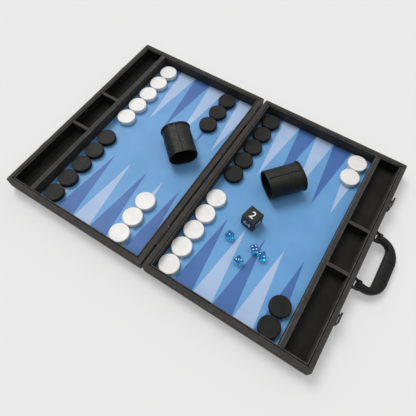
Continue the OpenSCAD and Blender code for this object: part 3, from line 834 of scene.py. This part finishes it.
def stitch(bm, start, end, lift):
    """One short thread stitch between two holes, bowed a little off the surface."""
    radius, rings, lift = 0.32, [], Vector(lift)
    along = (end - start).normalized()
    side = along.cross(lift).normalized()
    for t, r, h in ((0.0, 0.45, -0.5), (0.15, 0.9, 0.3), (0.5, 1.0, 0.9), (0.85, 0.9, 0.3), (1.0, 0.45, -0.5)):
        centre = start.lerp(end, t) + lift * radius * h
        rings.append([centre + (side * math.cos(a) + lift * math.sin(a)) * radius * r
                      for a in (math.radians(60 * i) for i in range(6))])
    skin_rings(bm, rings, closed=False)


def seam(bm, path, pitch, gap, lift):
    """A row of stitches along a path of points, raised towards lift."""
    spans = [math.dist(a, b) for a, b in zip(path, path[1:])]
    count = max(1, round(sum(spans) / pitch))
    even = resample([tuple(p) for p in path], 4 * count + 1)
    for k in range(count):
        a, b = Vector(even[4 * k]), Vector(even[4 * k + 4])
        trim = (b - a) * (gap / pitch / 2)
        stitch(bm, a + trim, b - trim, lift)


grip_thread = bmesh.new()
for across in (0.133, 0.867):
    for face in (1.0, -1.0):
        line = []
        for k in range(3, len(outer_line) - 3):
            (ox, oy), (ix, iy) = outer_line[k], inner_line[k]
            line.append((ox + (ix - ox) * across, oy + (iy - oy) * across,
                         face * (STITCH_HIGH * grip_half(k) + 0.05)))
        seam(grip_thread, line, 4.2, 1.3, (0, 0, face))
finish_piece("grip_stitching", grip_thread, [thread], "handle", (), hang)


# --- Men --------------------------------------------------------------------------------------
# Thirty turned men of cast resin, half white and half black: thick discs with rounded edges and
# a shallow dished face inside a low ring, the same on both sides.
def resin(name, colour, cloud, rough, shine):
    """Cast resin: faint clouds, fine turning marks in the gloss, and small handling marks."""
    m = Material(name, IOR=1.5, Specular_IOR_Level=shine)
    wear_and_highlight, clouds, marks = m.wear_and_highlight(), m.grain(60.0, 4.0, 0.6), m.grain(900.0, 3.0, 0.6)
    body = m.mixed(m.ramp(clouds, 0.3, 0.7), colour, cloud)
    body = m.mixed(m.times(wear_and_highlight["RubAndHighlight"], 0.25), body, shade(cloud, 1.25, 0.01))
    gloss = m.plus(m.plus(rough, m.times(wear_and_highlight["Smears"], 0.10)), m.times(marks, 0.06))
    return m.done(body, gloss, m.plus(m.times(marks, 0.4), m.times(clouds, 0.6)), 0.00009)


MEN_FINISHES = {
    "men_white": resin("white_resin", (0.77, 0.755, 0.73, 1), (0.83, 0.82, 0.80, 1), 0.36, 0.45),
    "men_black": resin("black_resin", (0.0085, 0.0081, 0.0075, 1), (0.0125, 0.012, 0.0112, 1), 0.5, 0.2),
}
MAN_R, MAN_T, MAN_ROUND = 20.65, 10.5, 1.8
upper = [(0.0, MAN_T - 0.3), (9.0, MAN_T - 0.29), (13.6, MAN_T - 0.26), (15.0, MAN_T - 0.2),
         (16.2, MAN_T - 0.06), (17.2, MAN_T)]
upper += [(MAN_R - MAN_ROUND * (1 - math.sin(math.radians(15 * i))),
           MAN_T - MAN_ROUND * (1 - math.cos(math.radians(15 * i)))) for i in range(7)]
man_profile = [(r, MAN_T - z) for r, z in upper] + list(reversed(upper))
MEN_ROWS = (("white_left_far", 5), ("black_left_near", 5), ("white_left_near", 3), ("black_left_far", 3),
            ("black_right_far", 5), ("white_right_near", 5), ("white_right_far", 2), ("black_right_near", 2))
men_bodies = {n: b for b, ns in frame["record"]["behaviour"]["bodies"].items() for n in ns}
for row, count in MEN_ROWS:
    finish = "men_" + row.split("_")[0]
    low, high = node_box("men_" + row)
    men = bmesh.new()
    for i in range(count):
        y = low.y + MAN_R + (high.y - low.y - 2 * MAN_R) * i / (count - 1)
        lathe(men, man_profile, 56, moved(((low.x + high.x) / 2, y, low.z)))
    finish_piece("men_turned_" + row, men, [MEN_FINISHES[finish]], men_bodies["men_" + row],
                 ["men_" + row])


# --- Dice cups --------------------------------------------------------------------------------
# Oval cups of stiff leatherette, rolled round and closed by one stitched lap seam on top, on a
# stitched base that stands out as a rim, and lined with black cloth-faced board.
cup_leather = leather("cup_leatherette", (0.0060, 0.0057, 0.0053, 1), (0.0095, 0.0090, 0.0084, 1),
                      (0.030, 0.028, 0.026, 1), 1150.0, 0.00014, 0.3)
CUP_LONG, CUP_WIDE, CUP_HIGH, CUP_BASE, FLANGE = 77.0, 63.0, 48.0, 4.0, 1.8
OVAL_STEPS = 84
SEAM_OFFS = (0.0, 0.3, 0.6, 0.9, 1.5, 2.6, 4.2, 6.2, 8.2, -1.5, -1.1, -0.8, -0.5, -0.25)


def oval(grow, along, bulge=None):
    """The cup's outline grown outwards by grow, at a distance along its length; x runs down the cup."""
    radius, shift = CUP_HIGH / 2 + grow, (CUP_WIDE - CUP_HIGH) / 2
    straight = 2 * shift
    total = 2 * math.pi * radius + 2 * straight
    points = []
    for s in [o for o in SEAM_OFFS if o >= 0] + [
            total * k / OVAL_STEPS for k in range(5, OVAL_STEPS - 1)] + [total + o for o in SEAM_OFFS if o < 0]:
        if s < straight / 2:
            y, z, n = s, radius, (0.0, 1.0)
        elif s < straight / 2 + math.pi * radius:
            a = math.pi / 2 - (s - straight / 2) / radius
            y, z, n = shift + radius * math.cos(a), radius * math.sin(a), (math.cos(a), math.sin(a))
        elif s < 1.5 * straight + math.pi * radius:
            y, z, n = shift - (s - straight / 2 - math.pi * radius), -radius, (0.0, -1.0)
        elif s < 1.5 * straight + 2 * math.pi * radius:
            a = -math.pi / 2 - (s - 1.5 * straight - math.pi * radius) / radius
            y, z, n = -shift + radius * math.cos(a), radius * math.sin(a), (math.cos(a), math.sin(a))
        else:
            y, z, n = s - total, radius, (0.0, 1.0)
        off = s if s < total / 2 else s - total
        extra = bulge(off) if bulge else 0.0
        points.append(Vector((along, y + n[0] * extra, z + n[1] * extra)))
    return points


def lap(off):
    """The lap seam along the top: one edge of the leather lies over the other, with a soft step."""
    if -1.2 < off < 0.3:
        return -0.6 * (1.0 - abs(off + 0.45) / 0.75)
    return 0.6 * (1.0 - (off - 0.3) / 7.7) if 0.3 <= off < 8.0 else 0.0


def cup(name, mouth, degrees):
    """One cup lying on its side from its mouth's centre, its length turned by degrees about Z."""
    tilt = math.asin(FLANGE / CUP_LONG)
    at = moved(mouth) @ turned(degrees, "Z") @ Matrix.Rotation(-tilt, 4, "Y")
    start, end = CUP_LONG - CUP_BASE, CUP_LONG
    wall = bmesh.new()
    rings = [oval(-2.2, start), oval(-2.2, 1.2), oval(-2.05, 0.45), oval(-1.5, 0.05),
             oval(-0.8, 0.0), oval(-0.25, 0.3), oval(0.0, 1.0), oval(0.0, 3.0, lap), oval(0.0, 20.0, lap),
             oval(0.0, 45.0, lap), oval(0.0, start - 1.2, lap), oval(0.0, start)]
    skin_rings(wall, rings, closed=True)
    finish_piece(name + "_wall", wall, [cup_leather], name, [name + "_body"], at)

    lining = bmesh.new()
    rings = [oval(-2.5, start), oval(-2.5, 1.3), oval(-2.8, 0.85), oval(-3.3, 0.8), oval(-3.8, 1.2),
             oval(-3.8, start)]
    skin_rings(lining, rings, closed=True)
    finish_piece(name + "_lining", lining, [lining_and_shade_flock], name, [name + "_liner"], at)

    base = bmesh.new()
    rings = [oval(FLANGE - 1.0, start), oval(FLANGE - 0.3, start + 0.15), oval(FLANGE, start + 0.7),
             oval(FLANGE, start + 1.5), oval(FLANGE - 0.35, start + 1.9), oval(FLANGE - 0.35, start + 2.1),
             oval(FLANGE, start + 2.5), oval(FLANGE, end - 0.8), oval(FLANGE - 0.3, end - 0.2),
             oval(FLANGE - 1.1, end), oval(-3.5, end), oval(-4.4, end - 0.4), oval(-6.0, end - 0.5)]
    skin_rings(base, rings, closed=False)
    finish_piece(name + "_foot", base, [cup_leather], name, [name + "_base"], at)

    sewn = bmesh.new()
    seam_line = [Vector((x, 2.6, CUP_HIGH / 2 + 0.48)) for x in (5.0, 25.0, 45.0, start - 2.5)]
    seam(sewn, seam_line, 3.6, 1.2, (0, 0, 1))
    ring = oval(-1.4, end)
    seam(sewn, ring + ring[:1], 3.8, 1.3, (1, 0, 0))
    finish_piece(name + "_stitching", sewn, [thread], name, (), at)


cup("cup_left", (hinge_x - 68.4, 0.9, 32.65), 137.8)
cup("cup_right", (hinge_x + 112.4, 35.2, 32.65), 50.0)


# --- Dice -------------------------------------------------------------------------------------
# Four dice of clear blue acrylic with softened edges. The pips are drilled shallow dishes
# filled with white paint.
m = Material("clear_blue_acrylic", IOR=1.46, Specular_IOR_Level=0.3, Transmission_Weight=1.0)
swirl, scuff = m.grain(120.0, 2.0, 0.5), m.grain(1800.0, 3.0, 0.7)
clear_blue = m.done(m.mixed(m.ramp(swirl, 0.35, 0.65), (0.0, 0.60, 1.0, 1), (0.0, 0.70, 1.0, 1)),
                    m.ramp(scuff, 0.5, 0.9, 0.03, 0.14))
m = Material("white_paint", IOR=1.45)
blotch = m.grain(1600.0, 3.0, 0.6)
white_paint = m.done(m.mixed(blotch, (0.78, 0.79, 0.80, 1), (0.90, 0.90, 0.89, 1)),
                     m.ramp(blotch, 0.2, 0.8, 0.42, 0.6), blotch, 0.00003)
DIE_SIDE, PIP_R, PIP_OFF, DIE_ROUND = 14.0, 1.25, 3.2, 1.5
CORNERS = [(PIP_OFF, PIP_OFF), (-PIP_OFF, -PIP_OFF), (PIP_OFF, -PIP_OFF), (-PIP_OFF, PIP_OFF)]
PIP_SPOTS = {1: [(0, 0)], 2: CORNERS[:2], 3: CORNERS[:2] + [(0, 0)], 4: CORNERS, 5: CORNERS + [(0, 0)],
             6: CORNERS + [(PIP_OFF, 0), (-PIP_OFF, 0)]}
DIE_FACES = ((1, Matrix.Identity(4)), (6, turned(180, "X")), (5, turned(90, "X")), (2, turned(-90, "X")),
             (3, turned(90, "Y")), (4, turned(-90, "Y")))


def dice_block():
    """A rounded cube whose flat faces are cut round each pip, with dished pips painted white."""
    bm = bmesh.new()
    bmesh.ops.create_cube(bm, size=DIE_SIDE)
    ease_edges(bm, list(bm.edges), DIE_ROUND, 4)
    for count, turn in DIE_FACES:
        out = (turn @ Vector((0, 0, 1, 0))).to_3d()
        flat = max(bm.faces, key=lambda f: (f.normal.dot(out) > 0.999, f.calc_area()))
        border = list(flat.edges)
        bmesh.ops.delete(bm, geom=[flat], context="FACES_ONLY")
        circles = []
        for x, y in PIP_SPOTS[count]:
            made = bmesh.ops.create_circle(bm, cap_ends=False, segments=20, radius=PIP_R,
                                           matrix=turn @ moved((x, y, DIE_SIDE / 2)))
            circles.append(list(dict.fromkeys(e for v in made["verts"] for e in v.link_edges)))
        bmesh.ops.triangle_fill(bm, use_beauty=True, use_dissolve=False, normal=out,
                                edges=border + [e for c in circles for e in c])
        for (x, y), ring in zip(PIP_SPOTS[count], circles):
            middle = (turn @ Vector((x, y, DIE_SIDE / 2, 1))).to_3d()
            for wide, deep in ((0.96, 0.12), (0.8, 0.32), (0.45, 0.46)):
                grown = bmesh.ops.extrude_edge_only(bm, edges=ring)["geom"]
                verts = new_verts(grown)
                for face in (g for g in grown if isinstance(g, bmesh.types.BMFace)):
                    face.material_index = 1
                for vert in verts:
                    flat_off = vert.co - middle
                    flat_off -= out * flat_off.dot(out)
                    vert.co = middle + flat_off.normalized() * PIP_R * wide - out * deep
                ring = [g for g in grown if isinstance(g, bmesh.types.BMEdge)
                        and all(v in verts for v in g.verts)]
            for face in bmesh.ops.contextual_create(bm, geom=ring)["faces"]:
                face.material_index = 1
    bmesh.ops.recalc_face_normals(bm, faces=bm.faces)
    return bm


DICE = (("die_one", -12.5, Matrix.Identity(4)), ("die_two", 126.5, turned(90, "X")),
        ("die_three", -22.0, turned(-90, "Y")), ("die_four", 44.0, turned(90, "Y")))
for name, degrees, roll in DICE:
    low, high = node_box(name)
    finish_piece(name + "_acrylic", dice_block(), [clear_blue, white_paint], name, [name],
                 moved((low + high) / 2) @ turned(degrees, "Z") @ roll, 40.0)


# --- Doubling cube ---------------------------------------------------------------------------
# A large moulded black cube with rounded edges and corners, its six numbers printed in white.
m = Material("moulded_black", IOR=1.5, Specular_IOR_Level=0.32)
wear_and_highlight, pores = m.wear_and_highlight(), m.grain(1300.0, 3.0, 0.6)
body = m.mixed(m.ramp(pores, 0.3, 0.7), (0.0070, 0.0070, 0.0072, 1), (0.0115, 0.0115, 0.0117, 1))
cube_black = m.done(m.mixed(m.times(wear_and_highlight["RubAndHighlight"], 0.4), body, (0.055, 0.055, 0.055, 1)),
                    m.plus(0.34, m.times(wear_and_highlight["Smears"], 0.12)), pores, 0.00005)
low, high = node_box("doubling_cube")
cube_at = moved((low + high) / 2) @ turned(-12.0, "Z")
CUBE_SIDE = 32.0
cube = bmesh.new()
bmesh.ops.create_cube(cube, size=CUBE_SIDE)
ease_edges(cube, list(cube.edges), 2.6, 6)
finish_piece("doubling_cube_block", cube, [cube_black], "doubling_cube", ["doubling_cube"],
             cube_at)

CUBE_FACES = [("2", Matrix.Identity(4)), ("32", turned(180, "X"))]
CUBE_FACES += [(label, turned(90 * k, "Z") @ turned(90, "X"))
               for k, label in enumerate(("64", "16", "4", "8"))]
numbers = bmesh.new()
for label, turn in CUBE_FACES:
    text = bpy.data.curves.new("number_" + label, "FONT")
    text.body, text.size, text.extrude = label, 22.0 if len(label) == 1 else 18.0, 0.06
    text.align_x, text.align_y, text.offset = "CENTER", "CENTER", 0.12
    text.resolution_u = 5
    lettering = bpy.data.objects.new("number_" + label, text)
    bpy.context.scene.collection.objects.link(lettering)
    bpy.context.view_layer.update()
    outline = bpy.data.meshes.new_from_object(lettering.evaluated_get(bpy.context.evaluated_depsgraph_get()))
    across, along = ([v.co[axis] for v in outline.vertices] for axis in (0, 1))
    middle = Vector((min(across) + max(across), min(along) + max(along), 0)) / 2
    outline.transform(cube_at @ turn @ moved((0, 0, CUBE_SIDE / 2 + 0.02)) @ moved(-middle))
    numbers.from_mesh(outline)
    bpy.data.objects.remove(lettering)
    bpy.data.meshes.remove(outline)
bmesh.ops.remove_doubles(numbers, verts=numbers.verts, dist=0.001)
finish_piece("doubling_cube_numbers", numbers, [white_paint], "doubling_cube")
